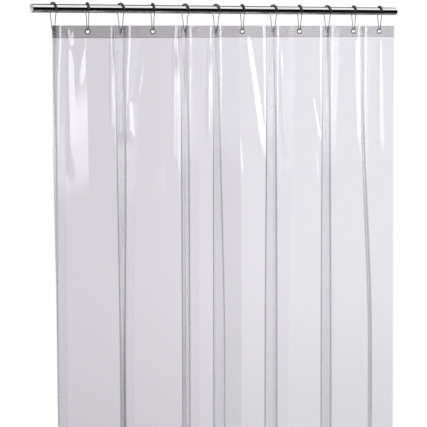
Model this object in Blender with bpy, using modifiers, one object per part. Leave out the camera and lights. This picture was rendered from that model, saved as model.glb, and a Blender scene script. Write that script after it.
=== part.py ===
"""A clear vinyl shower curtain hung in flat pleats from a straight tube by roller rings.

Frame: the origin is on the tube's axis at mid-length. +X runs along the tube, the room side
is -Y and +Z is up. Metres.
"""

import math

import bmesh
import bpy
from mathutils import Matrix, Vector

# Rod: an open round tube.
ROD_LENGTH = 1.352
ROD_DIAMETER = 0.0254
ROD_WALL = 0.0012
ROD_OVERHANG = 0.0683  # bare tube beyond the first and the last ring

# Curtain, as it lies flat before it is hung.
CURTAIN_WIDTH = 1.829
CURTAIN_DROP = 1.829
VINYL_THICKNESS = 0.00025
EDGE_MARGIN = 0.050  # side edge to the nearest eyelet
HEADER_HEIGHT = 0.037
HEADER_THICKNESS = 0.00025
EYELET_DROP = 0.0175  # top edge to the eyelets' centres
FOLD_RADIUS = 0.014  # inside the creases between two eyelets

# Rings: RING_DRIFT is how far each hangs from even spacing, because they were slid by hand.
RING_COUNT = 12
RING_DRIFT = (0, 0, 0, -0.001, 0.003, 0.005, -0.007, 0.002, -0.004, -0.002, -0.001, 0)
RING_SIDE_ROOM = 0.0016  # between the beads and the rod's front and back
RING_FOOT_RADIUS = 0.0070
RING_DROP = 0.0509  # rod's underside to the wire's lowest centre
RING_YAW = math.radians(10)  # each ring turns this far towards its pleat
WIRE_DIAMETER = 0.0020
BEAD_DIAMETER = 0.0064
BEAD_SPACE = 0.0004
NECK_WALL = 0.00065
BEAD_COUNT = 7

# Eyelets: a flanged barrel from the front and a loose washer behind, under the barrel's lip.
EYELET_HOLE = 0.0110
EYELET_FLANGE = 0.0180
BARREL_WALL = 0.0006
FLANGE_THICKNESS = 0.0006
WASHER_THICKNESS = 0.0005
LIP_WIDTH = 0.0011
LIP_THICKNESS = 0.0004

# The pleats run alternately back (+1) and forward (-1) through the eyelets. Where two
# neighbours run the same way, the curtain folds twice between them.
PLEAT_SIGNS = (1, -1, 1, -1, 1, 1, -1, 1, -1, 1, -1, -1)

GAP = 0.0003  # between pieces that touch on the real curtain
BORE_CLEARANCE = 0.00035  # between the wire and the beads threaded on it
EYELET_REST = 0.0020  # wire to the hole's top edge, so that a slanted wire stays clear

ROUND_STEPS = 12
ROD_STEPS = 32
CREASE_STEPS = 6
TOP_ARC_STEPS = 14
FOOT_ARC_STEPS = 6

COLLECTION = "shower_curtain"
CUTTERS = "cutters"

EYELET_PITCH = (CURTAIN_WIDTH - 2 * EDGE_MARGIN) / (RING_COUNT - 1)
HUNG_PITCH = (ROD_LENGTH - 2 * ROD_OVERHANG) / (RING_COUNT - 1)
LAYER_STEP = (VINYL_THICKNESS + HEADER_THICKNESS) / 2 + GAP  # panel's middle to header's
BARREL_RADIUS = EYELET_HOLE / 2 + BARREL_WALL

BORE_DIAMETER = WIRE_DIAMETER + 2 * BORE_CLEARANCE
BEAD_NECK = BORE_DIAMETER + 2 * NECK_WALL
BEAD_PITCH = BEAD_DIAMETER + BEAD_SPACE
RING_TOP_RADIUS = ROD_DIAMETER / 2 + BEAD_DIAMETER / 2 + RING_SIDE_ROOM
RING_TOP_Z = ROD_DIAMETER / 2 + GAP + BEAD_DIAMETER / 2
RING_FOOT_Z = -ROD_DIAMETER / 2 - RING_DROP
EYELET_Z = RING_FOOT_Z + WIRE_DIAMETER / 2 + EYELET_REST - EYELET_HOLE / 2
CURTAIN_TOP_Z = EYELET_Z + EYELET_DROP


def clear_scene():
    for obj in list(bpy.data.objects):
        bpy.data.objects.remove(obj, do_unlink=True)


def new_collection(name):
    collection = bpy.data.collections.new(name)
    bpy.context.scene.collection.children.link(collection)
    return collection


def material(name, colour, roughness, metallic=0.0, alpha=1.0):
    made = bpy.data.materials.new(name)
    made.use_nodes = True
    shader = made.node_tree.nodes["Principled BSDF"]
    shader.inputs["Base Color"].default_value = (*colour, 1)
    shader.inputs["Roughness"].default_value = roughness
    shader.inputs["Metallic"].default_value = metallic
    shader.inputs["Alpha"].default_value = alpha
    return made


def add_object(name, data, finish, collection):
    obj = bpy.data.objects.new(name, data)
    collection.objects.link(obj)
    if finish:
        data.materials.append(finish)
    return obj


def as_mesh(curve_object, collection):
    """A curve object's evaluated shape as a mesh object with its caps welded."""
    bpy.context.view_layer.update()
    graph = bpy.context.evaluated_depsgraph_get()
    mesh = bpy.data.meshes.new_from_object(curve_object.evaluated_get(graph))
    welded = bmesh.new()
    welded.from_mesh(mesh)
    bmesh.ops.remove_doubles(welded, verts=welded.verts, dist=1e-6)
    welded.to_mesh(mesh)
    welded.free()
    name = curve_object.name
    matrix = curve_object.matrix_world.copy()
    bpy.data.objects.remove(curve_object, do_unlink=True)
    obj = bpy.data.objects.new(name, mesh)
    obj.matrix_world = matrix
    collection.objects.link(obj)
    return obj


def poly_curve(name, points, collection, cyclic=False, radii=None):
    """A curve object through the points, each with an optional radius."""
    curve = bpy.data.curves.new(name, "CURVE")
    curve.dimensions = "3D"
    spline = curve.splines.new("POLY")
    spline.points.add(len(points) - 1)
    for index, (slot, point) in enumerate(zip(spline.points, points)):
        slot.co = (*point, 1)
        slot.radius = radii[index] if radii else 1
    spline.use_cyclic_u = cyclic
    return add_object(name, curve, None, collection)


def turned(name, profile, steps, finish, collection):
    """A closed outline of (radius, z) points, turned about Z."""
    mesh = bpy.data.meshes.new(name)
    count = len(profile)
    edges = [(i, (i + 1) % count) for i in range(count)]
    mesh.from_pydata([(r, 0, z) for r, z in profile], edges, [])
    obj = add_object(name, mesh, finish, collection)
    screw = obj.modifiers.new("turn", "SCREW")
    screw.steps = steps
    screw.render_steps = steps
    screw.use_merge_vertices = True
    screw.merge_threshold = 1e-5
    screw.use_smooth_shade = True
    return obj


def bisect(wanted, low, high, measure):
    """The value between low and high at which a rising measure reaches the wanted size."""
    for _ in range(60):
        middle = (low + high) / 2
        if measure(middle) < wanted:
            low = middle
        else:
            high = middle
    return (low + high) / 2


# Where the rings and pleats run ------------------------------------------------------------


def ring_places():
    first = -ROD_LENGTH / 2 + ROD_OVERHANG
    return [first + HUNG_PITCH * i + RING_DRIFT[i] for i in range(RING_COUNT)]


def pleat_angle():
    """How steeply the cloth runs through an eyelet, between evenly spaced rings."""

    def cloth_used(angle):
        saved = 2 * FOLD_RADIUS * (math.tan(angle) - angle)
        return HUNG_PITCH / math.cos(angle) - saved

    return bisect(EYELET_PITCH, 0.01, math.radians(80), cloth_used)


def crease(before, corner, after, radius):
    """Points along the rounded crease at a corner, from its first tangent to its last."""
    into = (corner - before).normalized()
    out = (after - corner).normalized()
    turn = into.angle_signed(out)  # clockwise is positive
    if abs(turn) < 1e-4:
        return [corner]
    tangent = radius * math.tan(abs(turn) / 2)
    start = corner - into * tangent
    side = Vector((into.y, -into.x)) if turn > 0 else Vector((-into.y, into.x))
    centre = start + side * radius
    arm = start - centre
    points = []
    for step in range(CREASE_STEPS + 1):
        angle = -turn * step / CREASE_STEPS
        cos_a = math.cos(angle)
        sin_a = math.sin(angle)
        points.append(
            centre + Vector((arm.x * cos_a - arm.y * sin_a, arm.x * sin_a + arm.y * cos_a))
        )
    return points


def path_length(points):
    return sum((b - a).length for a, b in zip(points, points[1:]))


def fold_between(start, end, sign, twice):
    """Cloth from one eyelet's flat stretch to the next: one crease, or two if they agree."""
    chord = end - start
    normal = Vector((-chord.y, chord.x)).normalized() * sign

    def shape(depth):
        if twice:
            corners = [start + chord / 4 + normal * depth, start + chord * 0.75 - normal * depth]
        else:
            corners = [start + chord / 2 + normal * depth]
        stations = [start, *corners, end]
        points = []
        for before, corner, after in zip(stations, stations[1:], stations[2:]):
            points += crease(before, corner, after, FOLD_RADIUS)
        return points

    wanted = EYELET_PITCH - EYELET_FLANGE

    def used(depth):
        return path_length([start, *shape(depth), end])

    return shape(bisect(wanted, 0.001, EYELET_PITCH, used))


def cloth_path(places, angle):
    """The curtain in plan, from its left side edge to its right one."""
    flat = EYELET_FLANGE / 2
    headings = [Vector((math.cos(angle), math.sin(angle) * s)) for s in PLEAT_SIGNS]
    eyelets = [Vector((x, 0)) for x in places]
    points = [eyelets[0] - headings[0] * EDGE_MARGIN]
    for i in range(RING_COUNT):
        points += [eyelets[i] - headings[i] * flat, eyelets[i] + headings[i] * flat]
        if i + 1 < RING_COUNT:
            start = points[-1]
            end = eyelets[i + 1] - headings[i + 1] * flat
            twice = PLEAT_SIGNS[i] == PLEAT_SIGNS[i + 1]
            points += fold_between(start, end, PLEAT_SIGNS[i], twice)
    points.append(eyelets[-1] + headings[-1] * EDGE_MARGIN)
    return points


def offset_path(points, distance):
    """The same path moved to its left, which is the curtain's rear."""
    moved = []
    for i, point in enumerate(points):
        before = points[max(i - 1, 0)]
        after = points[min(i + 1, len(points) - 1)]
        into = (point - before).normalized() if i else (after - point).normalized()
        out = (after - point).normalized() if i + 1 < len(points) else into
        normal = Vector((-into.y - out.y, into.x + out.x)).normalized()
        moved.append(point + normal * distance / max(normal.dot(Vector((-into.y, into.x))), 0.5))
    return moved


# Pieces ------------------------------------------------------------------------------------


def rod_tube(collection, finish):
    outer = ROD_DIAMETER / 2
    inner = outer - ROD_WALL
    half = ROD_LENGTH / 2
    profile = [(outer, half), (outer, -half), (inner, -half), (inner, half)]
    rod = turned("rod_tube", profile, ROD_STEPS, finish, collection)
    rod.rotation_euler = (0, math.pi / 2, 0)


def eyelet_cutter(cutters, places, angle):
    """One mesh of all the holes punched through the panel and its header."""
    holes = bmesh.new()
    radius = BARREL_RADIUS + GAP
    for x, sign in zip(places, PLEAT_SIGNS):
        bmesh.ops.create_cone(
            holes,
            cap_ends=True,
            segments=ROUND_STEPS,
            radius1=radius,
            radius2=radius,
            depth=8 * LAYER_STEP,
            matrix=Matrix.Translation((x, 0, EYELET_Z)) @ facing(sign, angle),
        )
    mesh = bpy.data.meshes.new("eyelet_holes")
    holes.to_mesh(mesh)
    holes.free()
    cutter = add_object("eyelet_holes", mesh, None, cutters)
    cutter.hide_render = True
    cutter.display_type = "WIRE"
    return cutter


def facing(sign, angle):
    """Turns local +Z to the room-side normal of a pleat that runs at sign times angle."""
    return Matrix.Rotation(sign * angle, 4, "Z") @ Matrix.Rotation(math.pi / 2, 4, "X")


def hung_sheet(name, path, height, thickness, cutter, collection, finish):
    """A strip of vinyl that follows the path, hanging from the curtain's top edge."""
    middle = CURTAIN_TOP_Z - height / 2
    guide = poly_curve(name, [(p.x, p.y, middle) for p in path], collection)
    guide.data.extrude = height / 2
    guide.data.twist_mode = "Z_UP"
    sheet = as_mesh(guide, collection)
    sheet.data.materials.append(finish)
    wall = sheet.modifiers.new("wall", "SOLIDIFY")
    wall.thickness = thickness
    wall.offset = 0
    wall.use_even_offset = True
    punch = sheet.modifiers.new("punch", "BOOLEAN")
    punch.operation = "DIFFERENCE"
    punch.object = cutter
    return sheet


def ring_outline():
    """The wire's centre line as (across, z), clockwise from the top: a pear-shaped loop."""
    top = Vector((0, RING_TOP_Z - RING_TOP_RADIUS))
    foot = Vector((0, RING_FOOT_Z + RING_FOOT_RADIUS))
    lean = math.asin((RING_TOP_RADIUS - RING_FOOT_RADIUS) / (top.y - foot.y))
    reach = math.pi / 2 + lean
    points = []
    for step in range(TOP_ARC_STEPS + 1):
        angle = -reach + 2 * reach * step / TOP_ARC_STEPS
        points.append((RING_TOP_RADIUS * math.sin(angle), top.y + RING_TOP_RADIUS * math.cos(angle)))
    for step in range(FOOT_ARC_STEPS + 1):
        angle = reach + (2 * math.pi - 2 * reach) * step / FOOT_ARC_STEPS
        points.append(
            (RING_FOOT_RADIUS * math.sin(angle), foot.y + RING_FOOT_RADIUS * math.cos(angle))
        )
    return points


def top_arc(distances):
    """Points on the loop's top arc at these distances along it from its crown."""
    centre = RING_TOP_Z - RING_TOP_RADIUS
    angles = [d / RING_TOP_RADIUS for d in distances]
    return [
        (0, RING_TOP_RADIUS * math.sin(a), centre + RING_TOP_RADIUS * math.cos(a)) for a in angles
    ]


def wire_mesh(scratch, finish):
    guide = poly_curve("ring_wire", [(0, y, z) for y, z in ring_outline()], scratch, cyclic=True)
    guide.data.bevel_depth = WIRE_DIAMETER / 2
    guide.data.bevel_resolution = 1
    wire = as_mesh(guide, scratch)
    wire.data.materials.append(finish)
    wire.data.shade_smooth()
    return wire.data


def bead_mesh(scratch, finish):
    """The row of roller beads, joined at their necks, with a bore for the wire."""
    distances = []
    radii = []
    for bead in range(BEAD_COUNT):
        centre = (bead - (BEAD_COUNT - 1) / 2) * BEAD_PITCH
        distances += [centre - BEAD_PITCH / 2, centre - BEAD_PITCH / 4, centre + BEAD_PITCH / 4]
        radii += [BEAD_NECK / 2, BEAD_DIAMETER / 2, BEAD_DIAMETER / 2]
    distances.append(BEAD_COUNT * BEAD_PITCH / 2)
    radii.append(BEAD_NECK / 2)
    guide = poly_curve("ring_beads", top_arc(distances), scratch, radii=radii)
    guide.data.bevel_depth = 1
    guide.data.bevel_resolution = 1
    guide.data.use_fill_caps = True
    beads = as_mesh(guide, scratch)
    ring = [(0, y, z) for y, z in ring_outline()][: TOP_ARC_STEPS + 1]
    bore_guide = poly_curve("bead_bore", ring, scratch)
    bore_guide.data.bevel_depth = BORE_DIAMETER / 2
    bore_guide.data.bevel_resolution = 1
    bore_guide.data.use_fill_caps = True
    bore = as_mesh(bore_guide, scratch)
    cut = beads.modifiers.new("bore", "BOOLEAN")
    cut.operation = "DIFFERENCE"
    cut.object = bore
    beads.name = "ring_beads_bored"
    bored = as_mesh(beads, scratch)
    bored.data.materials.clear()
    bored.data.materials.append(finish)
    bored.data.shade_smooth()
    return bored.data


def eyelet_profile():
    """The flanged barrel: (radius, z) with +Z towards the room and the panel's middle at 0."""
    hole = EYELET_HOLE / 2
    rim = EYELET_FLANGE / 2
    seat = VINYL_THICKNESS / 2 + GAP
    face = seat + FLANGE_THICKNESS
    lip = -(LAYER_STEP + HEADER_THICKNESS / 2 + 2 * GAP + WASHER_THICKNESS)
    edge = FLANGE_THICKNESS / 3
    return [
        (rim - edge, face),
        (rim, seat + edge),
        (rim - edge / 2, seat),
        (BARREL_RADIUS, seat),
        (BARREL_RADIUS, lip),
        (hole + BARREL_WALL + LIP_WIDTH, lip),
        (hole + BARREL_WALL + LIP_WIDTH - LIP_THICKNESS / 2, lip - LIP_THICKNESS),
        (hole, lip - LIP_THICKNESS),
        (hole, face),
    ]


def washer_profile():
    front = -(LAYER_STEP + HEADER_THICKNESS / 2 + GAP)
    back = front - WASHER_THICKNESS
    inner = BARREL_RADIUS + GAP
    outer = EYELET_FLANGE / 2
    return [(outer, front), (outer, back), (inner, back), (inner, front)]


def ring_sets(collection, scratch, places, angle, finishes):
    """Each ring's wire and beads, and the eyelet and washer that it passes through."""
    wire = wire_mesh(scratch, finishes["ring"])
    beads = bead_mesh(scratch, finishes["beads"])
    for number, (x, sign) in enumerate(zip(places, PLEAT_SIGNS), start=1):
        for name, mesh in (("ring_wire", wire), ("ring_beads", beads)):
            obj = bpy.data.objects.new(f"{name}_{number:02d}", mesh)
            obj.location = (x, 0, 0)
            obj.rotation_euler = (0, 0, sign * RING_YAW)
            collection.objects.link(obj)
        place = Matrix.Translation((x, 0, EYELET_Z)) @ facing(sign, angle)
        for name, profile in (
            ("grommet_eyelet", eyelet_profile()),
            ("grommet_washer", washer_profile()),
        ):
            label = f"{name}_{number:02d}"
            obj = turned(label, profile, ROUND_STEPS, finishes["grommet"], collection)
            obj.matrix_world = place
    for obj in list(scratch.objects):
        bpy.data.objects.remove(obj, do_unlink=True)
    bpy.data.collections.remove(scratch)


def main():
    clear_scene()
    collection = new_collection(COLLECTION)
    cutters = new_collection(CUTTERS)
    scratch = new_collection("scratch")
    chrome = material("rod_chrome", (0.62, 0.62, 0.63), 0.08, 1.0)
    vinyl = material("clear_vinyl", (0.86, 0.85, 0.88), 0.12, 0.0, 0.35)
    header_vinyl = material("header_vinyl", (0.62, 0.61, 0.64), 0.35, 0.0, 0.6)
    finishes = {
        "ring": material("ring_chrome", (0.58, 0.58, 0.58), 0.12, 1.0),
        "beads": material("bead_chrome", (0.60, 0.60, 0.60), 0.10, 1.0),
        "grommet": material("grommet_nickel", (0.55, 0.54, 0.52), 0.2, 1.0),
    }
    places = ring_places()
    angle = pleat_angle()
    path = cloth_path(places, angle)
    holes = eyelet_cutter(cutters, places, angle)
    rod_tube(collection, chrome)
    hung_sheet(
        "curtain_panel", path, CURTAIN_DROP, VINYL_THICKNESS, holes, collection, vinyl
    )
    hung_sheet(
        "header_band",
        offset_path(path, LAYER_STEP),
        HEADER_HEIGHT,
        HEADER_THICKNESS,
        holes,
        collection,
        header_vinyl,
    )
    ring_sets(collection, scratch, places, angle, finishes)


main()
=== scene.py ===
"""A clear vinyl shower curtain on its tube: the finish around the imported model.

Frame: the origin is on the tube's axis at mid-length. +X runs along the tube, the room side
is -Y and +Z is up. Metres.
"""

import math

import bmesh
import bpy
import numpy as np
from mathutils import Matrix, Vector, noise


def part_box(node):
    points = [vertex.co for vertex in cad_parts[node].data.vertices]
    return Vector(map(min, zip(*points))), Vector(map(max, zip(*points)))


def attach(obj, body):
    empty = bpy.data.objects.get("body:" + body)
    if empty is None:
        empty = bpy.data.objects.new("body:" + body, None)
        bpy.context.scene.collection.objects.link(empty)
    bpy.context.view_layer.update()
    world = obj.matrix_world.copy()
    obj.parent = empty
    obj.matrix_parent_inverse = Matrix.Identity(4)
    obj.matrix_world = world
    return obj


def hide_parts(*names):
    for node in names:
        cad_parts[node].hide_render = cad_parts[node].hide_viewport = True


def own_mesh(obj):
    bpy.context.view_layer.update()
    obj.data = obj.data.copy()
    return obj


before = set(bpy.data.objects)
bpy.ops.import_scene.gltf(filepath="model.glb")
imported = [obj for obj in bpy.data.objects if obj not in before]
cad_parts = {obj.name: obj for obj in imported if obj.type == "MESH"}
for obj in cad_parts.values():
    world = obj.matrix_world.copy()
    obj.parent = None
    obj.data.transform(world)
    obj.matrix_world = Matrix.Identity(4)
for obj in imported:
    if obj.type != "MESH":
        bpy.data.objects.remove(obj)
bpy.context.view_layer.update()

MM = 0.001

# Curtain, as it lies flat before it is hung.
CURTAIN_WIDTH = 1.829
CURTAIN_DROP = 1.829
VINYL_THICKNESS = 0.25 * MM
EDGE_MARGIN = 50 * MM  # from a side edge to the nearest grommet
HEADER_HEIGHT = 37 * MM
EYELET_DROP = 17.5 * MM
LAYER_STEP = 0.55 * MM  # the panel's middle to the header's, which lies behind it
# Which way the cloth runs in plan at each grommet, going along +X: 1 towards the wall, -1
# towards the room. Seen from the left, the first kind is edge-on.
PLEAT_SIGNS = (1, -1, 1, -1, 1, 1, -1, 1, -1, 1, -1, -1)
RING_COUNT = len(PLEAT_SIGNS)
EYELET_PITCH = (CURTAIN_WIDTH - 2 * EDGE_MARGIN) / (RING_COUNT - 1)
EYELET_STATIONS = [EDGE_MARGIN + EYELET_PITCH * i for i in range(RING_COUNT)]
PLEAT_BEND_RADIUS = 14 * MM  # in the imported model, whose pleat angle comes from it

# Creases: how much cloth one takes up at the header and at the hem.
CREASE_CLOTH_TOP = 32 * MM
CREASE_CLOTH_LOW = 7 * MM
CREASE_EASE = 0.40  # drop over which the creases tighten
SHOULDER = 0.16  # the creases settle between the header and this drop
CREEP_START = 0.02  # drop from which the creases begin to settle
CREEP_END = CURTAIN_DROP * 0.6  # drop where they reach their place at the hem
# How far each gap's crease has crept along the cloth at the header, at the shoulder and at
# the hem, in millimetres. A crease that creeps towards the edge-on pleat, which is the plus
# direction, shortens that pleat and turns it further edge-on. In a gap with two creases
# both creep towards +X.
CREASE_CREEP = (
    (11, 15, 18),
    (1, 6, 12),
    (1, 6, 12),
    (2, 8, 10),
    (2, 6, 12),
    (0, -3, -14),
    (0, 0, -2),
    (0, -2, -3),
    (0, -2, -3),
    (0, -2, -3),
    (-14, -12, 15),
)
# How strongly each gap's creases show as lines of painted shade.
CREASE_SHADE = (0.25, 1, 1, 1, 1, 1, 1, 1, 1, 1, 0.6)
CREASE_LINE = 2.4 * MM  # half width of such a line
CREASE_LINE_DROPS = (0.1, 0.45)  # drops between which the lines come up

# How the cloth hangs below the grommets.
FLAT_FADE = 0.12  # drop below the header over which the flat stretch at a grommet ends
HEM_SPREAD = (0.004, 0.040)  # how much wider the hem is, left and right of the middle
EDGE_CURL = math.radians(12)  # how far the left side edge turns in towards the hem
CURL_DROPS = (0.4, 1.1)  # drops between which it turns in
CURL_SHARE = (1.6, -1.0)  # its share of that turn from the edge inwards, kept within 0 and 1

# Slow waves in the film, and where the film lies still.
WAVE_ACROSS = 0.09  # about one wave's length along the cloth
WAVE_DOWN = 0.55  # and down it
WAVE_HEIGHT = 0.7 * MM
WAVE_SEED = 3.7
CALM_RADII = (9 * MM, 26 * MM)  # still within the first of a grommet, free past the second
CALM_TOP = (-0.002, 0.03)  # drops between which the film comes free of the top edge

# The film's grid: a step along the cloth, and a shorter one within a distance of a crease or
# a grommet. Down the cloth, a step for each drop that it holds to.
COLUMN_STEP = 5.6 * MM
COLUMN_STEP_AT_CREASE = 2.8 * MM
CREASE_REACH = 20 * MM
COLUMN_STEP_AT_EYELET = 2.4 * MM
EYELET_REACH = 10 * MM
ROW_STEPS = ((44 * MM, 2.4 * MM), (0.55, 10 * MM), (CURTAIN_DROP, 40 * MM))
HEADER_ROWS = 17

# How finely the plan of the cloth is worked out.
GAP_STEPS = 150  # between two grommets
EDGE_STEPS = 12  # outside the first and the last grommet
HEADING_STEPS = 3  # over which the heading at either end is taken
PLAN_SAMPLES = 1830  # along the whole cloth, about one a millimetre
SMOOTH_REACH = 6  # samples either side that the heading is evened out over
SMOOTH_SPREAD = 2.4  # samples
HALVINGS = 40  # when an angle is searched for
STEEPEST = math.radians(89)  # that a pleat may run

WELD_DIAMETER = 0.9 * MM
WELD_INSET = 1.0 * MM  # above the header's lower edge
WELD_END_GAP = 2 * MM
WELD_POINTS = 700
WELD_SIDES = 8

# Grommets: a flanged barrel in front and a washer behind, both pressed from thin sheet.
HOLE = 11 * MM
FLANGE = 18 * MM
BARREL_WALL = 0.6 * MM
FLANGE_THICKNESS = 0.6 * MM
FLANGE_DOME = 0.6  # the flange's rise from its rim to its hole, in thicknesses
RIM_RADIUS = 0.32 * MM
RIM_INSET = 0.4 * MM  # from the flange's edge to the foot of its dome
MOUTH_RADIUS = 0.9 * MM
WASHER_THICKNESS = 0.5 * MM
WASHER_EASE = 0.15 * MM
LIP_WIDTH = 1.1 * MM
LIP_THICKNESS = 0.4 * MM
LIP_EASE = 0.3 * MM
GAP = 0.3 * MM
GROMMET_SIDES = 56
CLOTH_HOLE = 6.6 * MM  # radius of the punched hole, hidden under the flange
HOLE_CATCH = 1.16  # the grid's corners within so many radii move to the hole's edge

# Rings.
RING_YAW = math.radians(10)
RING_TOP_RADIUS = 17.5 * MM
RING_FOOT_RADIUS = 7.0 * MM
RING_PINCH = 1.7 * MM  # how far the sides curve in
TOP_STEPS = 40
FOOT_STEPS = 20
SIDE_STEPS = 16
WIRE_DIAMETER = 2.0 * MM
WIRE_SIDES = 14
BEAD_DIAMETER = 6.4 * MM
BEAD_SPACE = 0.4 * MM
BEAD_BORE = 2.7 * MM
BEAD_END = 1.25  # a bead's flat end, in bores
BEAD_EASE = 0.1 * MM
BEAD_STEPS = 14
BEAD_SIDES = 24
BEAD_COUNT = 7
BEAD_LINE_STEPS = 60

# Tube.
ROD_WALL = 1.2 * MM
ROD_EASE = 0.25 * MM
ROD_SIDES = 128

# Camera: on the curtain's left, level with its header and tilted a little down.
CAMERA_AZIMUTH = math.radians(-33)
CAMERA_PITCH = math.radians(6.5)
CAMERA_PLACE = (-2.276, -3.413, -0.055)
CAMERA_LENS = 110.1
CAMERA_SENSOR = 36
CAMERA_SHIFT_Y = -0.0867
CAMERA_REACH = 50

# Studio.
LAMP_AIM = (0, 0, -1.0)
# Each lamp: (name, place, size, watts).
LAMPS = (
    ("key", (-2.4, -2.8, 1.6), 1.8, 90),
    ("fill", (2.6, -2.2, 1.0), 2.2, 45),
)
FLOOR_RADIUS = 1.85
FLOOR_THICKNESS = 0.02
FLOOR_DROP = 0.06  # below the hem
DIMMEST = 0.005  # what is mirrored where nothing is painted
LIGHT_BOUNCES = 24  # enough to pass both faces of the pleats' layers of film

COLLECTION = bpy.data.collections.new("shower_curtain_looks")
bpy.context.scene.collection.children.link(COLLECTION)


# Small tools --------------------------------------------------------------------------------


def linear(hex_colour):
    """An sRGB hex colour as linear RGBA."""
    values = [int(hex_colour[i : i + 2], 16) / 255 for i in (0, 2, 4)]
    return (*[v / 12.92 if v <= 0.04045 else ((v + 0.055) / 1.055) ** 2.4 for v in values], 1)


def add(tree, kind, inputs=None, **settings):
    """A node of this kind with its settings made and its inputs set or linked."""
    node = tree.nodes.new(kind)
    for key, value in settings.items():
        setattr(node, key, value)
    for key, value in (inputs or {}).items():
        if isinstance(value, bpy.types.NodeSocket):
            tree.links.new(value, node.inputs[key])
        else:
            node.inputs[key].default_value = value
    return node


def new_material(name):
    """A material with nodes, its tree and its shader."""
    material = bpy.data.materials.new(name)
    material.use_nodes = True
    tree = material.node_tree
    return material, tree, tree.nodes["Principled BSDF"]


def smooth_step(low, high, value):
    """0 up to low, 1 from high on, and an eased rise between them."""
    share = np.clip((np.asarray(value, float) - low) / (high - low), 0, 1)
    return share * share * (3 - 2 * share)


def unit(value):
    """Complex numbers brought to length 1, as headings in plan."""
    return value / np.abs(value)


def link_object(name, data, finish=None):
    """A new object with this data, in the curtain's collection."""
    obj = bpy.data.objects.new(name, data)
    COLLECTION.objects.link(obj)
    if finish:
        data.materials.append(finish)
    return obj


def plain_mesh(obj, name, finish=None):
    """The object's evaluated shape as a plain mesh object with no modifiers."""
    bpy.context.view_layer.update()
    graph = bpy.context.evaluated_depsgraph_get()
    mesh = bpy.data.meshes.new_from_object(obj.evaluated_get(graph))
    mesh.transform(obj.matrix_world)
    bpy.data.objects.remove(obj, do_unlink=True)
    mesh.name = name
    if finish:
        mesh.materials.clear()
        mesh.materials.append(finish)
    return link_object(name, mesh)


def soften(obj, degrees):
    """Shades the piece smooth, with sharp edges where it bends by more than this."""
    obj.data.shade_smooth()
    obj.data.set_sharp_from_angle(angle=math.radians(degrees))
    return obj


def turned_mesh(name, profile, steps):
    """A closed outline of (radius, z) points, turned about Z, as a closed mesh."""
    shape = bmesh.new()
    rings = []
    for radius, z in profile:
        turn = [2 * math.pi * k / steps for k in range(steps)]
        rings.append(
            [shape.verts.new((radius * math.cos(a), radius * math.sin(a), z)) for a in turn]
        )
    for ring, after in zip(rings, rings[1:] + rings[:1]):
        for k in range(steps):
            n = (k + 1) % steps
            shape.faces.new((ring[k], ring[n], after[n], after[k]))
    bmesh.ops.recalc_face_normals(shape, faces=shape.faces)
    mesh = bpy.data.meshes.new(name)
    shape.to_mesh(mesh)
    shape.free()
    return mesh


def node_group(name, inputs):
    """An empty geometry tree with a geometry input and output and these named inputs."""
    tree = bpy.data.node_groups.new(name, "GeometryNodeTree")
    tree.interface.new_socket("Geometry", in_out="INPUT", socket_type="NodeSocketGeometry")
    for label, kind in inputs:
        tree.interface.new_socket(label, in_out="INPUT", socket_type=f"NodeSocket{kind}")
    tree.interface.new_socket("Geometry", in_out="OUTPUT", socket_type="NodeSocketGeometry")
    return tree, tree.nodes.new("NodeGroupInput"), tree.nodes.new("NodeGroupOutput")


def grow(name, host_points, tree, values, matrix=Matrix.Identity(4), cyclic=False):
    """Runs the tree on a line through the points and keeps the result as a plain mesh."""
    count = len(host_points)
    edges = [(i, i + 1) for i in range(count - 1)] + ([(count - 1, 0)] if cyclic else [])
    line = bpy.data.meshes.new(name)
    line.from_pydata([tuple(p) for p in host_points], edges, [])
    host = link_object(name, line)
    modifier = host.modifiers.new("grow", "NODES")
    modifier.node_group = tree
    for item in tree.interface.items_tree:
        if item.in_out == "INPUT" and item.name in values:
            modifier[item.identifier] = values[item.name]
    host.matrix_world = matrix
    return plain_mesh(host, name)


# Finishes -----------------------------------------------------------------------------------


def bright_plate(name, colour, roughness, lines_mm, along):
    """Chrome or nickel plate over drawn or pressed metal: a hard mirror, faintly dulled by
    drawing and wiping marks that run one way, which stretch the reflections very slightly."""
    mark_length = 40  # in mark widths
    wipe_mm = 60
    material, tree, shader = new_material(name)
    place = add(tree, "ShaderNodeTexCoord")
    stretch = [1 / (lines_mm * MM)] * 3
    stretch["xyz".index(along)] /= mark_length
    spread = add(
        tree, "ShaderNodeMapping", {"Vector": place.outputs["Object"], "Scale": stretch}
    )
    marks = add(
        tree, "ShaderNodeTexNoise", {"Vector": spread.outputs[0], "Scale": 1.0, "Detail": 3.0}
    )
    wiped = add(
        tree,
        "ShaderNodeTexNoise",
        {"Vector": place.outputs["Object"], "Scale": 1 / (wipe_mm * MM), "Detail": 2.0},
    )
    both = add(
        tree,
        "ShaderNodeMath",
        {0: marks.outputs["Fac"], 1: wiped.outputs["Fac"]},
        operation="MULTIPLY",
    )
    gloss = add(
        tree,
        "ShaderNodeMapRange",
        {
            "Value": both.outputs[0],
            "From Min": 0.12,
            "From Max": 0.42,
            "To Min": roughness * 0.7,
            "To Max": roughness * 1.6,
        },
    )
    relief = add(
        tree,
        "ShaderNodeBump",
        {"Height": marks.outputs["Fac"], "Strength": 0.05, "Distance": 0.02 * MM},
    )
    shader.inputs["Base Color"].default_value = linear(colour)
    shader.inputs["Metallic"].default_value = 1.0
    tree.links.new(gloss.outputs[0], shader.inputs["Roughness"])
    tree.links.new(relief.outputs[0], shader.inputs["Normal"])
    return material


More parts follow.
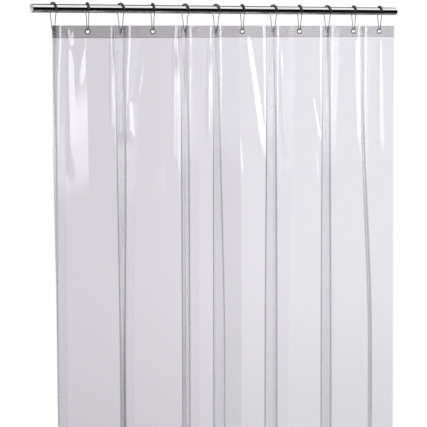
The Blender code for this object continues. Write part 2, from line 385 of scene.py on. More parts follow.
def clear_pvc(name, colours, fades, roughness, crease_shade_colour, ripple_mm, ripple):
    """Calendered PVC film: see-through and glossy, with the faint ripple that the rollers
    leave, duller patches from handling, painted shade along each crease, which stands in for
    the darker look of film seen through at a slant, painted shade in the tint towards one side
    edge, and a tint that is darker towards the hem."""
    cloud_mm = 180
    darker_from, darker_to, darker_share = 0.7, 1.4, 0.87  # drops, and the tint's share past them: darker towards the hem
    material, tree, shader = new_material(name)
    cloth = add(tree, "ShaderNodeUVMap", uv_map="cloth")
    # Painted shade along the creases, read from the film's crease attribute; it also dulls the
    # gloss there.
    bent = add(tree, "ShaderNodeAttribute", attribute_name="crease")
    roller = add(
        tree,
        "ShaderNodeTexNoise",
        {"Vector": cloth.outputs[0], "Scale": 1 / (ripple_mm * MM), "Detail": 2.0},
    )
    cloudy = add(
        tree,
        "ShaderNodeTexNoise",
        {"Vector": cloth.outputs[0], "Scale": 1 / (cloud_mm * MM), "Detail": 3.0},
    )
    clouded = add(
        tree,
        "ShaderNodeMapRange",
        {"Value": cloudy.outputs["Fac"], "From Min": 0.3, "From Max": 0.7, "To Max": 0.2},
    )
    worn = add(
        tree,
        "ShaderNodeMath",
        {0: bent.outputs["Fac"], 1: clouded.outputs[0]},
        operation="ADD",
        use_clamp=True,
    )
    flat = add(tree, "ShaderNodeSeparateXYZ", {0: cloth.outputs[0]})
    # Painted shade across the film: towards one side edge the tint runs to a shaded colour.
    across = add(
        tree,
        "ShaderNodeMapRange",
        {
            "Value": flat.outputs["X"],
            "From Min": CURTAIN_WIDTH * fades[0],
            "From Max": CURTAIN_WIDTH * fades[1],
        },
        interpolation_type="SMOOTHSTEP",
    )
    # Darker towards the hem.
    down = add(
        tree,
        "ShaderNodeMapRange",
        {
            "Value": flat.outputs["Y"],
            "From Min": darker_from,
            "From Max": darker_to,
            "To Min": 1.0,
            "To Max": darker_share,
        },
        interpolation_type="SMOOTHSTEP",
    )
    tint_shaded_at_edge = add(
        tree,
        "ShaderNodeMix",
        {"Factor": across.outputs[0], 6: linear(colours[0]), 7: linear(colours[1])},
        data_type="RGBA",
    )
    darkened_tint = add(
        tree,
        "ShaderNodeVectorMath",
        {0: tint_shaded_at_edge.outputs[2], "Scale": down.outputs[0]},
        operation="SCALE",
    )
    # Mixes the painted crease shade into the tint.
    tint = add(
        tree,
        "ShaderNodeMix",
        {"Factor": bent.outputs["Fac"], 6: darkened_tint.outputs[0], 7: linear(crease_shade_colour)},
        data_type="RGBA",
    )
    gloss = add(
        tree,
        "ShaderNodeMapRange",
        {"Value": worn.outputs[0], "To Min": roughness, "To Max": roughness * 2.2},
    )
    relief = add(
        tree,
        "ShaderNodeBump",
        {"Height": roller.outputs["Fac"], "Strength": ripple, "Distance": 0.1 * MM},
    )
    shader.inputs["IOR"].default_value = 1.53
    shader.inputs["Transmission Weight"].default_value = 1.0
    tree.links.new(tint.outputs[2], shader.inputs["Base Color"])
    tree.links.new(gloss.outputs[0], shader.inputs["Roughness"])
    tree.links.new(relief.outputs[0], shader.inputs["Normal"])
    # Lamps shine through clear film, so it casts only a pale shade.
    sight = add(tree, "ShaderNodeLightPath")
    passing = add(tree, "ShaderNodeBsdfTransparent", {"Color": linear(colours[1])})
    both = add(
        tree,
        "ShaderNodeMixShader",
        {0: sight.outputs["Is Shadow Ray"], 1: shader.outputs[0], 2: passing.outputs[0]},
    )
    tree.links.new(both.outputs[0], tree.nodes["Material Output"].inputs["Surface"])
    return material


def mill_scale(name, colours, mottle_mm):
    """The tube's bore as the mill left it: a dry grey oxide, mottled and with no shine, which
    keeps the cut ends from looking like holes in a mirror."""
    material, tree, shader = new_material(name)
    place = add(tree, "ShaderNodeTexCoord")
    mottle = add(
        tree,
        "ShaderNodeTexNoise",
        {"Vector": place.outputs["Object"], "Scale": 1 / (mottle_mm * MM), "Detail": 4.0},
    )
    shade = add(
        tree,
        "ShaderNodeMix",
        {"Factor": mottle.outputs["Fac"], 6: linear(colours[0]), 7: linear(colours[1])},
        data_type="RGBA",
    )
    shader.inputs["Roughness"].default_value = 0.6
    tree.links.new(shade.outputs[2], shader.inputs["Base Color"])
    return material


def matt_plaster(name):
    """A painted studio floor: even and pale, with a faint trowelled mottle."""
    mottle_mm = 220
    material, tree, shader = new_material(name)
    place = add(tree, "ShaderNodeTexCoord")
    mottle = add(
        tree,
        "ShaderNodeTexNoise",
        {"Vector": place.outputs["Object"], "Scale": 1 / (mottle_mm * MM), "Detail": 5.0},
    )
    shade = add(
        tree,
        "ShaderNodeMix",
        {"Factor": mottle.outputs["Fac"], 6: linear("e9e8e6"), 7: linear("f1f0ee")},
        data_type="RGBA",
    )
    shader.inputs["Roughness"].default_value = 0.7
    tree.links.new(shade.outputs[2], shader.inputs["Base Color"])
    return material


# Where the curtain runs ---------------------------------------------------------------------


def middle_of(node):
    """The middle of a CAD node's box."""
    low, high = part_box(node)
    return (low + high) / 2


RING_X = [middle_of(f"ring_wire_{n:02d}").x for n in range(1, RING_COUNT + 1)]
EYELET_Z = middle_of("grommet_eyelet_01").z
CURTAIN_TOP_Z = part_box("curtain_panel")[1].z
ROD_LOW, ROD_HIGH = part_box("rod_tube")
ROD_RADIUS = (ROD_HIGH.z - ROD_LOW.z) / 2
HUNG_PITCH = (RING_X[-1] - RING_X[0]) / (RING_COUNT - 1)
RING_TOP_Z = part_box("ring_wire_01")[1].z - WIRE_DIAMETER / 2
RING_FOOT_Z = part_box("ring_wire_01")[0].z + WIRE_DIAMETER / 2


def fold_gauge(station, corners, cloth):
    """+1 up to the first crease, -1 after it, and so on, turning over the crease's cloth."""
    gauge = np.ones_like(station)
    for corner in corners:
        gauge = gauge * -np.sin(np.pi * np.clip((station - corner) / cloth, -0.5, 0.5))
    return gauge


def solve_falling(wanted, low, high, measure):
    """Where a measure that falls from low to high comes to the wanted value."""
    for _ in range(HALVINGS):
        middle = (low + high) / 2
        if measure(middle) > wanted:
            low = middle
        else:
            high = middle
    return (low + high) / 2


def gap_headings(length, corners, cloth, sign, chord):
    """The cloth's heading at mid-steps between two points that chord (a complex) joins."""
    station = (np.arange(GAP_STEPS) + 0.5) * length / GAP_STEPS
    gauge = fold_gauge(station, corners, cloth)

    def reach(angle):
        return abs(np.exp(1j * angle * gauge).mean()) * length

    angle = solve_falling(abs(chord), 0.0, STEEPEST, reach)
    steps = np.exp(1j * sign * angle * gauge)
    return steps * np.exp(1j * (np.angle(chord) - np.angle(steps.sum())))


def eyelet_heading():
    """How steeply the cloth runs through an eyelet, between evenly spaced rings."""
    flattest, steepest = 0.01, math.radians(80)

    def less_cloth(angle):
        saved = 2 * PLEAT_BEND_RADIUS * (math.tan(angle) - angle)
        return saved - HUNG_PITCH / math.cos(angle)

    return solve_falling(-EYELET_PITCH, flattest, steepest, less_cloth)


PLEAT_ANGLE = eyelet_heading()


def runs_on(gap):
    """Whether the cloth runs the same way at both ends of this gap, so it has two creases."""
    return PLEAT_SIGNS[gap] == PLEAT_SIGNS[gap + 1]


def crease_stations(gap):
    """Where a gap's creases lie along the cloth before they creep."""
    shares = (0.25, 0.75) if runs_on(gap) else (0.5,)
    return [EYELET_STATIONS[gap] + EYELET_PITCH * share for share in shares]


def crept(gap, drop):
    """How far this gap's creases have crept along the cloth at this drop or these drops."""
    header, shoulder, hem = CREASE_CREEP[gap]
    settled = header + (shoulder - header) * smooth_step(CREEP_START, SHOULDER, drop)
    creep = settled + (hem - shoulder) * smooth_step(SHOULDER, CREEP_END, drop)
    side = 1 if runs_on(gap) else -PLEAT_SIGNS[gap]
    return side * creep * MM


def with_side_edges(stations, places, loose, drop):
    """Adds the loose cloth outside the first and the last grommet. It carries straight on,
    and further down the left side edge curls in."""
    head_left = unit(places[HEADING_STEPS] - places[0])
    head_right = unit(places[-1] - places[-1 - HEADING_STEPS])
    curl = EDGE_CURL * float(smooth_step(*CURL_DROPS, drop))
    turns = np.exp(1j * curl * np.clip(np.linspace(*CURL_SHARE, EDGE_STEPS), 0, 1))
    left = places[0] - np.cumsum((head_left * turns)[::-1])[::-1] * loose / EDGE_STEPS
    right = places[-1] + head_right * loose * np.linspace(0, 1, EDGE_STEPS + 1)[1:]
    left_at = np.linspace(0, loose, EDGE_STEPS, endpoint=False)
    right_at = stations[-1] + np.linspace(0, loose, EDGE_STEPS + 1)[1:]
    return (
        np.concatenate([left_at, stations, right_at]),
        np.concatenate([left, places, right]),
    )


def plan_at(drop):
    """The curtain in plan at this drop: stations along the cloth and places as complex."""
    ease = float(smooth_step(0.0, CREASE_EASE, drop))
    fall = float(smooth_step(0.0, CURTAIN_DROP, drop))
    flat = 1 - float(smooth_step(HEADER_HEIGHT, HEADER_HEIGHT + FLAT_FADE, drop))
    stub = FLANGE / 2 * flat
    length = EYELET_PITCH - 2 * stub
    quarter = EYELET_PITCH / 4 - stub
    cloth = CREASE_CLOTH_TOP + (CREASE_CLOTH_LOW - CREASE_CLOTH_TOP) * ease
    eyelets = [complex(x * (1 + HEM_SPREAD[x > 0] * fall), 0) for x in RING_X]
    heads = [np.exp(1j * s * PLEAT_ANGLE) for s in PLEAT_SIGNS]
    stations, places = [], []
    for i in range(RING_COUNT - 1):
        start = eyelets[i] + heads[i] * stub
        end = eyelets[i + 1] - heads[i + 1] * stub
        creep = float(crept(i, drop))
        if runs_on(i):
            corners = (quarter + creep, length - quarter + creep)
        else:
            corners = (length / 2 + creep,)
        steps = gap_headings(length, corners, cloth, PLEAT_SIGNS[i], end - start)
        places.append(start + np.concatenate([[0], np.cumsum(steps) * length / GAP_STEPS]))
        stations.append(EYELET_STATIONS[i] + stub + np.linspace(0, length, GAP_STEPS + 1))
    return with_side_edges(
        np.concatenate(stations), np.concatenate(places), EDGE_MARGIN + stub, drop
    )


def plan_between(at, stations, places):
    """The plan's places at other stations along the cloth."""
    return np.interp(at, stations, places.real) + 1j * np.interp(at, stations, places.imag)


def curtain_columns():
    """The grid's stations along the cloth, closer at the creases and the grommets."""
    creases = [crease for gap in range(RING_COUNT - 1) for crease in crease_stations(gap)]
    stations = [0.0]
    while stations[-1] < CURTAIN_WIDTH - 0.5 * MM:
        here = stations[-1]
        step = COLUMN_STEP
        if min(abs(here - crease) for crease in creases) < CREASE_REACH:
            step = COLUMN_STEP_AT_CREASE
        if min(abs(here - eyelet) for eyelet in EYELET_STATIONS) < EYELET_REACH:
            step = COLUMN_STEP_AT_EYELET
        stations.append(here + step)
    return np.array(stations) * CURTAIN_WIDTH / stations[-1]


def curtain_rows():
    """The grid's drops, closest in the header and widest towards the hem."""
    drops = [0.0]
    while drops[-1] < CURTAIN_DROP - 1 * MM:
        here = drops[-1]
        drops.append(here + next(step for limit, step in ROW_STEPS if here < limit))
    return np.array(drops) * CURTAIN_DROP / drops[-1]


# Folds that the weight pulls in the film. Each is (grommet, run, drop to its top, length,
# lean, half width, height): it starts at run across from that grommet, and leans that far
# sideways over its length. All in millimetres.
PULL_FOLDS = (
    (2, -4, 18, 150, -26, 10, 2.0),
    (2, -61, -20, 85, 4, 5, 1.6),
    (2, -46, -20, 85, -6, 5, 1.6),
    (2, -58, 60, 400, 6, 16, 1.6),
    (3, -86, 10, 370, -2, 12, 2.2),
    (4, -19, 26, 220, -36, 9, 1.7),
    (4, 0, 60, 1700, 6, 7, -0.25),
    (4, -74, 232, 125, 2, 18, 2.8),
    (5, -90, 0, 540, -6, 16, 3.3),
    (6, -48, 10, 400, -2, 10, 2.0),
    (7, 12, 24, 460, 62, 20, 3.2),
    (7, -8, 335, 170, 3, 10, 2.0),
    (9, -66, 60, 380, 22, 15, 2.2),
    (9, 37, 205, 190, 34, 10, 1.8),
    (9, 56, 380, 150, 3, 8, 1.2),
    (9, 4, 120, 1650, 4, 8, -0.25),
    (11, 4, 24, 460, 12, 16, 1.8),
    (12, 2, 24, 500, 4, 14, 2.0),
)


def pull_relief(station, drop):
    """How far the film stands off its pleat, towards the room, because of the folds. Each
    widens down its length, rises from nothing and dies away."""
    narrow, widening = 0.55, 0.6
    rise, fall = (-0.02, 0.12), (0.72, 1.0)  # shares of a fold's length
    total = np.zeros(np.broadcast(station, drop).shape)
    for number, run, top, length, lean, half, height in PULL_FOLDS:
        along = (drop / MM - top) / length
        middle = EYELET_STATIONS[number - 1] + (run + lean * along) * MM
        widen = half * MM * (narrow + widening * np.clip(along, 0, 1))
        across = np.clip((station - middle) / widen, -1, 1)
        hump = (1 + np.cos(np.pi * across)) / 2
        fade = smooth_step(*rise, along) * (1 - smooth_step(*fall, along))
        total += height * MM * hump * fade
    return total


def wander(station, drop):
    """Slow, shallow waves, longer down the film than across it."""
    total = np.zeros(station.shape)
    for at, along in np.ndenumerate(station):
        place = Vector((along / WAVE_ACROSS, drop[at] / WAVE_DOWN, WAVE_SEED))
        total[at] = noise.noise(place)
    return total * WAVE_HEIGHT


def calm_near_eyelets(station, drop):
    """0 at the grommets, which hold the film flat, and 1 away from them."""
    calm = np.ones(station.shape)
    for eyelet in EYELET_STATIONS:
        away = np.hypot(station - eyelet, drop - EYELET_DROP)
        calm = calm * smooth_step(*CALM_RADII, away)
    return calm


def painted_crease_shade(station, drop):
    """Nearness to the creases, painted into the film's colour as shade below the shoulder."""
    total = np.zeros(station.shape)
    for gap in range(RING_COUNT - 1):
        creep = crept(gap, drop)
        for crease in crease_stations(gap):
            away = (station - crease - creep) / CREASE_LINE
            total += CREASE_SHADE[gap] * np.exp(-(away**2))
    return np.clip(total, 0, 1) * smooth_step(*CREASE_LINE_DROPS, drop)


def cloth_grid(rows, columns, shift):
    """Places of the film's grid, moved by shift towards the wall."""
    grid_s, grid_t = np.meshgrid(columns, rows)
    relief = pull_relief(grid_s, grid_t) + wander(grid_s, grid_t)
    relief = relief * calm_near_eyelets(grid_s, grid_t) * smooth_step(*CALM_TOP, grid_t)
    places = np.zeros((len(rows), len(columns), 3))
    even = np.linspace(0, CURTAIN_WIDTH, PLAN_SAMPLES)
    samples = np.arange(-SMOOTH_REACH, SMOOTH_REACH + 1)
    kernel = np.exp(-0.5 * (samples / SMOOTH_SPREAD) ** 2)
    kernel /= kernel.sum()
    for r, drop in enumerate(rows):
        plan = plan_between(even, *plan_at(drop))
        heading = np.pad(np.gradient(plan, even), SMOOTH_REACH, mode="edge")
        normal = 1j * unit(np.convolve(heading, kernel, "valid"))
        at = plan_between(columns, even, plan)
        at = at + unit(plan_between(columns, even, normal)) * (shift - relief[r])
        places[r, :, 0] = at.real
        places[r, :, 1] = at.imag
        places[r, :, 2] = CURTAIN_TOP_Z - drop
    return grid_s, grid_t, places


def punched(grid_s, grid_t, places):
    """Moves the grid's corners onto each eyelet hole's edge. Says which lie inside it."""
    inside = np.zeros(grid_s.shape, bool)
    for eyelet, sign in zip(EYELET_STATIONS, PLEAT_SIGNS):
        ds = grid_s - eyelet
        dt = grid_t - EYELET_DROP
        away = np.hypot(ds, dt)
        near = away < CLOTH_HOLE * HOLE_CATCH
        outwards = np.where(near, CLOTH_HOLE / np.maximum(away, 1e-6) - 1, 0)
        places[..., 0] += ds * outwards * math.cos(PLEAT_ANGLE)
        places[..., 1] += ds * outwards * math.sin(PLEAT_ANGLE) * sign
        places[..., 2] -= dt * outwards
        inside |= near
    return inside


def film(name, rows, columns, shift, thickness, finish):
    """A sheet of film with its eyelet holes and a wall of its real thickness."""
    grid_s, grid_t, places = cloth_grid(rows, columns, shift)
    inside = punched(grid_s, grid_t, places)
    wide = len(columns)
    index = np.arange(len(rows) * wide).reshape(len(rows), wide)
    corners = np.stack([index[:-1, :-1], index[1:, :-1], index[1:, 1:], index[:-1, 1:]], -1)
    gone = inside[:-1, :-1] & inside[1:, :-1] & inside[1:, 1:] & inside[:-1, 1:]
    mesh = bpy.data.meshes.new(name)
    mesh.from_pydata(places.reshape(-1, 3), [], corners[~gone].reshape(-1, 4).tolist())
    loops = np.zeros(len(mesh.loops), np.int32)
    mesh.loops.foreach_get("vertex_index", loops)
    flat = np.stack([grid_s.ravel()[loops], grid_t.ravel()[loops]], -1)
    mesh.uv_layers.new(name="cloth").data.foreach_set("uv", flat.ravel())
    # The crease attribute holds where shade is painted along the creases.
    marks = mesh.attributes.new("crease", "FLOAT", "POINT")
    marks.data.foreach_set("value", painted_crease_shade(grid_s, grid_t).ravel().astype(np.float32))
    trimmed = bmesh.new()
    trimmed.from_mesh(mesh)
    loose = [v for v in trimmed.verts if not v.link_faces]
    bmesh.ops.delete(trimmed, geom=loose, context="VERTS")
    trimmed.to_mesh(mesh)
    trimmed.free()
    sheet = link_object(name, mesh, finish)
    wall = sheet.modifiers.new("wall", "SOLIDIFY")
    wall.thickness = thickness
    wall.offset = 0
    return soften(plain_mesh(sheet, name, finish), 60)


def seam_weld(finish):
    """The bead of fused film along the header's lower edge, pinched between the layers."""
    drop = HEADER_HEIGHT - WELD_INSET
    even = np.linspace(WELD_END_GAP, CURTAIN_WIDTH - WELD_END_GAP, WELD_POINTS)
    plan = plan_between(even, *plan_at(drop))
    plan = plan + 1j * unit(np.gradient(plan, even)) * LAYER_STEP / 2
    points = [(p.real, p.imag, CURTAIN_TOP_Z - drop) for p in plan]
    values = {"Wire Diameter": WELD_DIAMETER, "Sides": WELD_SIDES, "Finish": finish}
    return soften(grow("seam_weld", points, bent_wire_tree(), values), 60)


# Rings --------------------------------------------------------------------------------------


def hoop_arc(radius, centre_z, start, end, steps):
    """Points (y, z) on an arc, whose angles run from straight up towards +Y."""
    turns = [start + (end - start) * k / steps for k in range(steps + 1)]
    return [(radius * math.sin(a), centre_z + radius * math.cos(a)) for a in turns]


def ring_outline():
    """The wire's centre line in the YZ plane: a round top, sides that curve in, a round foot."""
    top_z = RING_TOP_Z - RING_TOP_RADIUS
    foot_z = RING_FOOT_Z + RING_FOOT_RADIUS
    lean = math.asin((RING_TOP_RADIUS - RING_FOOT_RADIUS) / (top_z - foot_z))
    reach = math.pi / 2 + lean
    top = hoop_arc(RING_TOP_RADIUS, top_z, -reach, reach, TOP_STEPS)
    foot = hoop_arc(RING_FOOT_RADIUS, foot_z, reach, 2 * math.pi - reach, FOOT_STEPS)
    sides = []
    for start, end in ((top[-1], foot[0]), (foot[-1], top[0])):
        line = []
        for k in range(1, SIDE_STEPS):
            u = k / SIDE_STEPS
            y = start[0] + (end[0] - start[0]) * u
            z = start[1] + (end[1] - start[1]) * u
            line.append((y - math.copysign(RING_PINCH * math.sin(math.pi * u), y), z))
        sides.append(line)
    return top + sides[0] + foot + sides[1]


def bent_wire_tree():
    """Sweeps a round wire along the line."""
    tree, given, made = node_group(
        "bent_wire",
        [("Wire Diameter", "Float"), ("Sides", "Int"), ("Finish", "Material")],
    )
    radius = add(
        tree,
        "ShaderNodeMath",
        {0: given.outputs["Wire Diameter"], 1: 0.5},
        operation="MULTIPLY",
    )
    section = add(
        tree,
        "GeometryNodeCurvePrimitiveCircle",
        {"Resolution": given.outputs["Sides"], "Radius": radius.outputs[0]},
    )
    line = add(tree, "GeometryNodeMeshToCurve", {"Mesh": given.outputs["Geometry"]})
    swept = add(
        tree,
        "GeometryNodeCurveToMesh",
        {"Curve": line.outputs[0], "Profile Curve": section.outputs[0], "Fill Caps": True},
    )
    real = add(tree, "GeometryNodeRealizeInstances", {"Geometry": swept.outputs[0]})
    finished = add(
        tree,
        "GeometryNodeSetMaterial",
        {"Geometry": real.outputs[0], "Material": given.outputs["Finish"]},
    )
    tree.links.new(finished.outputs[0], made.inputs[0])
    return tree


def bead_string_tree():
    """Threads the bead along the line, evenly, each turned to lie along it."""
    tree, given, made = node_group(
        "bead_string", [("Bead", "Object"), ("Bead Count", "Int"), ("Finish", "Material")]
    )
    line = add(tree, "GeometryNodeMeshToCurve", {"Mesh": given.outputs["Geometry"]})
    even = add(
        tree,
        "GeometryNodeResampleCurve",
        {"Curve": line.outputs[0], "Count": given.outputs["Bead Count"]},
    )
    tangent = add(tree, "GeometryNodeInputTangent")
    turn = add(
        tree,
        "FunctionNodeAlignRotationToVector",
        {"Vector": tangent.outputs[0]},
        axis="Z",
    )
    bead = add(tree, "GeometryNodeObjectInfo", {"Object": given.outputs["Bead"]})
    strung = add(
        tree,
        "GeometryNodeInstanceOnPoints",
        {
            "Points": even.outputs[0],
            "Instance": bead.outputs["Geometry"],
            "Rotation": turn.outputs[0],
        },
    )
    real = add(tree, "GeometryNodeRealizeInstances", {"Geometry": strung.outputs[0]})
    finished = add(
        tree,
        "GeometryNodeSetMaterial",
        {"Geometry": real.outputs[0], "Material": given.outputs["Finish"]},
    )
    tree.links.new(finished.outputs[0], made.inputs[0])
    return tree


def bead_mesh():
    """A ball with a bore through it, its ends flattened where it rolls against the next."""
    ball = BEAD_DIAMETER / 2
    bore = BEAD_BORE / 2
    end = math.acos(bore * BEAD_END / ball)
    half = ball * math.sin(end)
    angles = [end - 2 * end * k / BEAD_STEPS for k in range(BEAD_STEPS + 1)]
    profile = [(ball * math.cos(a), ball * math.sin(a)) for a in angles]
    profile += [(bore, -half + BEAD_EASE), (bore, half - BEAD_EASE)]
    return turned_mesh("bead", profile, BEAD_SIDES)


def rings(wire_finish, bead_finish):
    """Twelve rings: a bent wire each, with seven separate beads threaded over its top."""
    outline = [(0, y, z) for y, z in ring_outline()]
    wire_tree = bent_wire_tree()
    beads_tree = bead_string_tree()
    bead = link_object("bead", bead_mesh())
    pitch = (BEAD_DIAMETER + BEAD_SPACE) / RING_TOP_RADIUS
    reach = pitch * (BEAD_COUNT - 1) / 2
    centre = RING_TOP_Z - RING_TOP_RADIUS
    over = hoop_arc(RING_TOP_RADIUS, centre, -reach, reach, BEAD_LINE_STEPS)
    bead_line = [(0, y, z) for y, z in over]
    wire_values = {"Wire Diameter": WIRE_DIAMETER, "Sides": WIRE_SIDES, "Finish": wire_finish}
    bead_values = {"Bead": bead, "Bead Count": BEAD_COUNT, "Finish": bead_finish}
    for number, (x, sign) in enumerate(zip(RING_X, PLEAT_SIGNS), start=1):
        tag = f"{number:02d}"
        place = Matrix.Translation((x, 0, 0)) @ Matrix.Rotation(sign * RING_YAW, 4, "Z")
        body = "curtain" if number == 1 else f"ring_{tag}"
        wire = grow(f"wire_{tag}", outline, wire_tree, wire_values, place, cyclic=True)
        string = grow(f"beads_{tag}", bead_line, beads_tree, bead_values, place)
        for piece, node, slot in (
            (wire, "ring_wire", "ring_chrome"),
            (string, "ring_beads", "bead_chrome"),
        ):
            soften(piece, 50)
            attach(piece, body)
            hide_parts(f"{node}_{tag}")
    bpy.data.objects.remove(bead, do_unlink=True)


# Grommets -----------------------------------------------------------------------------------


def arc_points(centre, radius, start, end, count):
    """Points on an arc, from angle start to angle end in degrees."""
    points = []
    for k in range(count + 1):
        angle = math.radians(start + (end - start) * k / count)
        points.append((centre[0] + radius * math.cos(angle), centre[1] + radius * math.sin(angle)))
    return points


def eyelet_outline():
    """The pressed front: a domed flange with a rolled rim, the barrel and the curled lip."""
    hole = HOLE / 2
    rim = FLANGE / 2
    seat = VINYL_THICKNESS / 2 + GAP
    crown = seat + FLANGE_THICKNESS * (1 + FLANGE_DOME)
    lip = -(LAYER_STEP + VINYL_THICKNESS / 2 + 2 * GAP + WASHER_THICKNESS)
    barrel = hole + BARREL_WALL
    dome = []
    for u in (0, 0.25, 0.5, 0.75, 1):
        radius = hole + MOUTH_RADIUS + (rim - RIM_INSET - hole - MOUTH_RADIUS) * u
        dome.append((radius, seat + FLANGE_THICKNESS * (1 + FLANGE_DOME * (1 - u * u))))
    outside = arc_points((rim - RIM_RADIUS, seat + RIM_RADIUS), RIM_RADIUS, 70, -90, 6)
    curl = arc_points((barrel + LIP_WIDTH / 2, lip), LIP_WIDTH / 2, 0, -90, 4)
    mouth_centre = (hole + MOUTH_RADIUS, crown - MOUTH_RADIUS)
    mouth = arc_points(mouth_centre, MOUTH_RADIUS, 180, 100, 6)
    return (
        dome
        + outside
        + [(barrel, seat), (barrel, lip), (barrel + LIP_WIDTH, lip)]
        + curl
        + [(hole + LIP_EASE, lip - LIP_THICKNESS), (hole, lip - LIP_THICKNESS / 2)]
        + mouth
    )


def washer_outline():
    """A flat ring behind the header, its edges eased except where it grips the film."""
    front = -(LAYER_STEP + VINYL_THICKNESS / 2 + GAP)
    back = front - WASHER_THICKNESS
    inner = HOLE / 2 + BARREL_WALL + GAP
    outer = FLANGE / 2
    ease = WASHER_EASE
    return [
        (outer - ease, front),
        (outer, front - ease),
        (outer, back + ease),
        (outer - ease, back),
        (inner + ease, back),
        (inner, back + ease),
        (inner, front),
    ]


def grommets(finish):
    """The grommets and washers, each turned to lie along its pleat."""
    for number, (x, sign) in enumerate(zip(RING_X, PLEAT_SIGNS), start=1):
        place = (
            Matrix.Translation((x, 0, EYELET_Z))
            @ Matrix.Rotation(sign * PLEAT_ANGLE, 4, "Z")
            @ Matrix.Rotation(math.pi / 2, 4, "X")
        )
        for name, outline, node in (
            ("grommet", eyelet_outline(), "grommet_eyelet"),
            ("washer", washer_outline(), "grommet_washer"),
        ):
            mesh = turned_mesh(f"{name}_{number:02d}", outline, GROMMET_SIDES)
            mesh.transform(place)
            piece = soften(link_object(mesh.name, mesh, finish), 40)
            gather(piece)
            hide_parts(f"{node}_{number:02d}")


# Gathering ----------------------------------------------------------------------------------


def gather(piece):
    """The piece goes on the curtain's body, so it swings with the curtain, and gets a mesh of its
    own.
    """
    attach(piece, "curtain")
    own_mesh(piece)
    return piece


# Tube ---------------------------------------------------------------------------------------


def rod(finish, bore_finish):
    """A drawn tube, plated outside and bare inside, with its burrs taken off both ends."""
    outer = ROD_RADIUS
    inner = outer - ROD_WALL
    half = (ROD_HIGH.x - ROD_LOW.x) / 2
    ease = ROD_EASE
    profile = [
        (outer - ease, half),
        (outer, half - ease),
        (outer, -half + ease),
        (outer - ease, -half),
        (inner + ease, -half),
        (inner, -half + ease),
        (inner, half - ease),
        (inner + ease, half),
    ]
    mesh = turned_mesh("rod", profile, ROD_SIDES)
    mesh.transform(Matrix.Rotation(math.pi / 2, 4, "Y"))
    piece = soften(link_object("rod", mesh, finish), 40)
    mesh.materials.append(bore_finish)
    for face in mesh.polygons:
        if math.hypot(face.center.y, face.center.z) < inner + ease:
            face.material_index = 1
    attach(piece, "rod")
    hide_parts("rod_tube")


# Studio -------------------------------------------------------------------------------------

# What the chrome and the film mirror: (name, azimuth, half width, lowest, highest, soft edge,
# light). Degrees; azimuth runs from +X towards +Y. Where two overlap, their lights add up.
MIRRORED = (
    ("front_softbox", 251, 26, -4.4, 70, 0.8, 3.6),
    ("softbox_skirt", 251, 26, -6.6, -4.4, 0.6, 2.1),
    ("right_softbox", 338, 10, -4, 40, 1.5, 3.0),
    ("front_wash", 221, 32, -20, 24, 5, 1.08),
    ("front_ceiling", 322, 54, 27, 76, 3, 1.25),
    ("rear_ceiling", 57, 62, 66, 76, 2, 1.5),
    ("rear_wall", 57, 75, 5, 66, 2, 0.06),
    ("rear_right_wall", 27, 22, -24, 18, 3, 0.85),
    ("rear_middle_wall", 60, 12, -13, 18, 3, 0.95),
    ("rear_middle_low_wall", 60, 12, -26, -13, 3, 0.5),
    ("rear_left_wall", 102, 30, -24, 4, 3, 0.85),
    ("floor", 303, 115, -120, -40, 14, 0.17),
    ("rear_floor", 57, 65, -120, -34, 6, 0.25),
)


def painted(tree, way, name, azimuth, half, low, high, soft, light):
    """One patch of the mirrored studio: its light inside its bounds and 0 outside them."""
    turned = add(
        tree,
        "ShaderNodeVectorRotate",
        {"Vector": way, "Angle": -math.radians(azimuth)},
        rotation_type="Z_AXIS",
        label=name,
    )
    parts = add(tree, "ShaderNodeSeparateXYZ", {0: turned.outputs[0]})
    aside = add(
        tree,
        "ShaderNodeMath",
        {0: parts.outputs["Y"], 1: parts.outputs["X"]},
        operation="ARCTAN2",
    )
    aside = add(tree, "ShaderNodeMath", {0: aside.outputs[0]}, operation="ABSOLUTE")
    rise = add(tree, "ShaderNodeMath", {0: parts.outputs["Z"]}, operation="ARCSINE")
    value = light
    for angle, outside, within in (
        (aside, half + soft, half - soft),
        (rise, low - soft, low + soft),
        (rise, high + soft, high - soft),
    ):
        mask = add(
            tree,
            "ShaderNodeMapRange",
            {
                "Value": angle.outputs[0],
                "From Min": math.radians(outside),
                "From Max": math.radians(within),
            },
            interpolation_type="SMOOTHSTEP",
        )
        value = add(
            tree,
            "ShaderNodeMath",
            {0: value, 1: mask.outputs[0]},
            operation="MULTIPLY",
        ).outputs[0]
    return value


def studio_world():
    """White all round for the eye and for matt surfaces, and a painted studio for the mirrors."""
    world = bpy.data.worlds.new("studio")
    bpy.context.scene.world = world
    world.use_nodes = True
    tree = world.node_tree
    tree.nodes.clear()
    way = add(tree, "ShaderNodeTexCoord").outputs["Generated"]
    total = DIMMEST
    for patch in MIRRORED:
        total = add(
            tree,
            "ShaderNodeMath",
            {0: total, 1: painted(tree, way, *patch)},
            operation="ADD",
        ).outputs[0]
    sight = add(tree, "ShaderNodeLightPath")
    mirrored = add(
        tree,
        "ShaderNodeMath",
        {0: sight.outputs["Glossy Depth"], 1: 0.5},
        operation="GREATER_THAN",
    )
    seen = add(tree, "ShaderNodeBackground", {"Color": (1, 1, 1, 1), "Strength": 1.0})
    lit = add(tree, "ShaderNodeBackground", {"Color": (1, 1, 1, 1), "Strength": total})
    both = add(
        tree,
        "ShaderNodeMixShader",
        {0: mirrored.outputs[0], 1: seen.outputs[0], 2: lit.outputs[0]},
    )
    made = tree.nodes.new("ShaderNodeOutputWorld")
    tree.links.new(both.outputs[0], made.inputs[0])


def lamp(name, place, size, watts):
    """A soft square lamp that lights the matt surfaces and is mirrored nowhere."""
    data = bpy.data.lights.new(name, "AREA")
    data.size = size
    data.energy = watts
    obj = bpy.data.objects.new(name, data)
    obj.location = place
    aim = Vector(LAMP_AIM) - Vector(place)
    obj.rotation_euler = aim.to_track_quat("-Z", "Y").to_euler()
    for way in ("camera", "glossy", "transmission"):
        setattr(obj, f"visible_{way}", False)
    bpy.context.scene.collection.objects.link(obj)


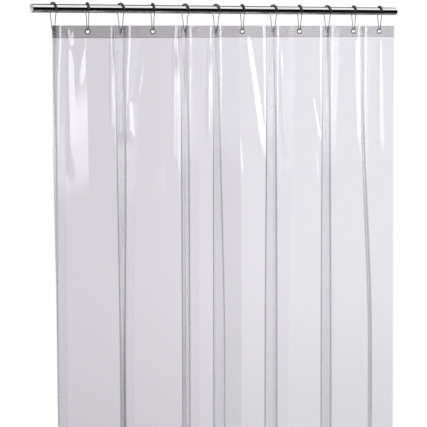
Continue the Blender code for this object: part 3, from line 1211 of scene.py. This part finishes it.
def studio_floor():
    """A round pale floor below the hem."""
    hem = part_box("curtain_panel")[0].z
    disc = bmesh.new()
    bmesh.ops.create_cone(
        disc,
        cap_ends=True,
        segments=96,
        radius1=FLOOR_RADIUS,
        radius2=FLOOR_RADIUS,
        depth=FLOOR_THICKNESS,
    )
    mesh = bpy.data.meshes.new("floor")
    disc.to_mesh(mesh)
    disc.free()
    mesh.transform(Matrix.Translation((0, 0, hem - FLOOR_DROP - FLOOR_THICKNESS / 2)))
    floor = link_object("floor", mesh, matt_plaster("floor_plaster"))
    floor.visible_glossy = False  # the chrome mirrors the painted studio instead


def camera():
    """The camera, with its horizon level."""
    data = bpy.data.cameras.new("camera")
    data.lens = CAMERA_LENS
    data.sensor_width = CAMERA_SENSOR
    data.shift_y = CAMERA_SHIFT_Y
    data.clip_end = CAMERA_REACH
    obj = bpy.data.objects.new("camera", data)
    obj.location = CAMERA_PLACE
    obj.rotation_euler = (math.pi / 2 - CAMERA_PITCH, 0, CAMERA_AZIMUTH)
    bpy.context.scene.collection.objects.link(obj)
    bpy.context.scene.camera = obj


# Assembly -----------------------------------------------------------------------------------


def curtain():
    """The panel, the header behind its top and the weld between them."""
    # Each film: its colour with painted shade at one side edge, its own colour, where that shade
    # fades out, its roughness, its painted crease shade colour, and its ripple's size and
    # strength.
    clear = clear_pvc(
        "clear_vinyl_film", ("d1ced5", "e6e4ea"), (0.0, 0.75), 0.03, "9c9aa0", 9, 0.2
    )
    frosted = clear_pvc(
        "header_film", ("bcbbb8", "d5d4d2"), (0.15, 0.5), 0.09, "a8a7a5", 3, 0.4
    )
    columns = curtain_columns()
    header_rows = np.linspace(0, HEADER_HEIGHT, HEADER_ROWS)
    panel = film("curtain", curtain_rows(), columns, 0.0, VINYL_THICKNESS, clear)
    header = film("header", header_rows, columns, LAYER_STEP, VINYL_THICKNESS, frosted)
    for piece, node, slot in (
        (panel, "curtain_panel", "clear_vinyl"),
        (header, "header_band", "header_vinyl"),
    ):
        gather(piece)
        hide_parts(node)
    weld = gather(seam_weld(frosted))


def main():
    """Sets up the studio, makes the pieces and says how far light is followed."""
    camera()
    studio_world()
    for name, place, size, watts in LAMPS:
        lamp(name, place, size, watts)
    studio_floor()
    rod(
        bright_plate("chromed_tube", "d5d5d6", 0.05, 1.5, "x"),
        mill_scale("bare_bore", ("c9c8c5", "dddcda"), 8),
    )
    # The wire's and the beads' plate is far darker in colour than the tube's chrome: painted shade
    # for the dark room they mirror.
    rings(
        bright_plate("bright_wire", "444446", 0.12, 1.0, "z"),
        bright_plate("chromed_beads", "565658", 0.05, 2.0, "z"),
    )
    # The grommets' plate is darker in colour than real nickel: painted shade for the dark room it
    # mirrors.
    grommets(bright_plate("nickelled_brass", "74726f", 0.12, 1.0, "z"))
    curtain()
    scene = bpy.context.scene
    scene.view_settings.view_transform = "Standard"
    scene.cycles.max_bounces = LIGHT_BOUNCES
    scene.cycles.transmission_bounces = LIGHT_BOUNCES


main()
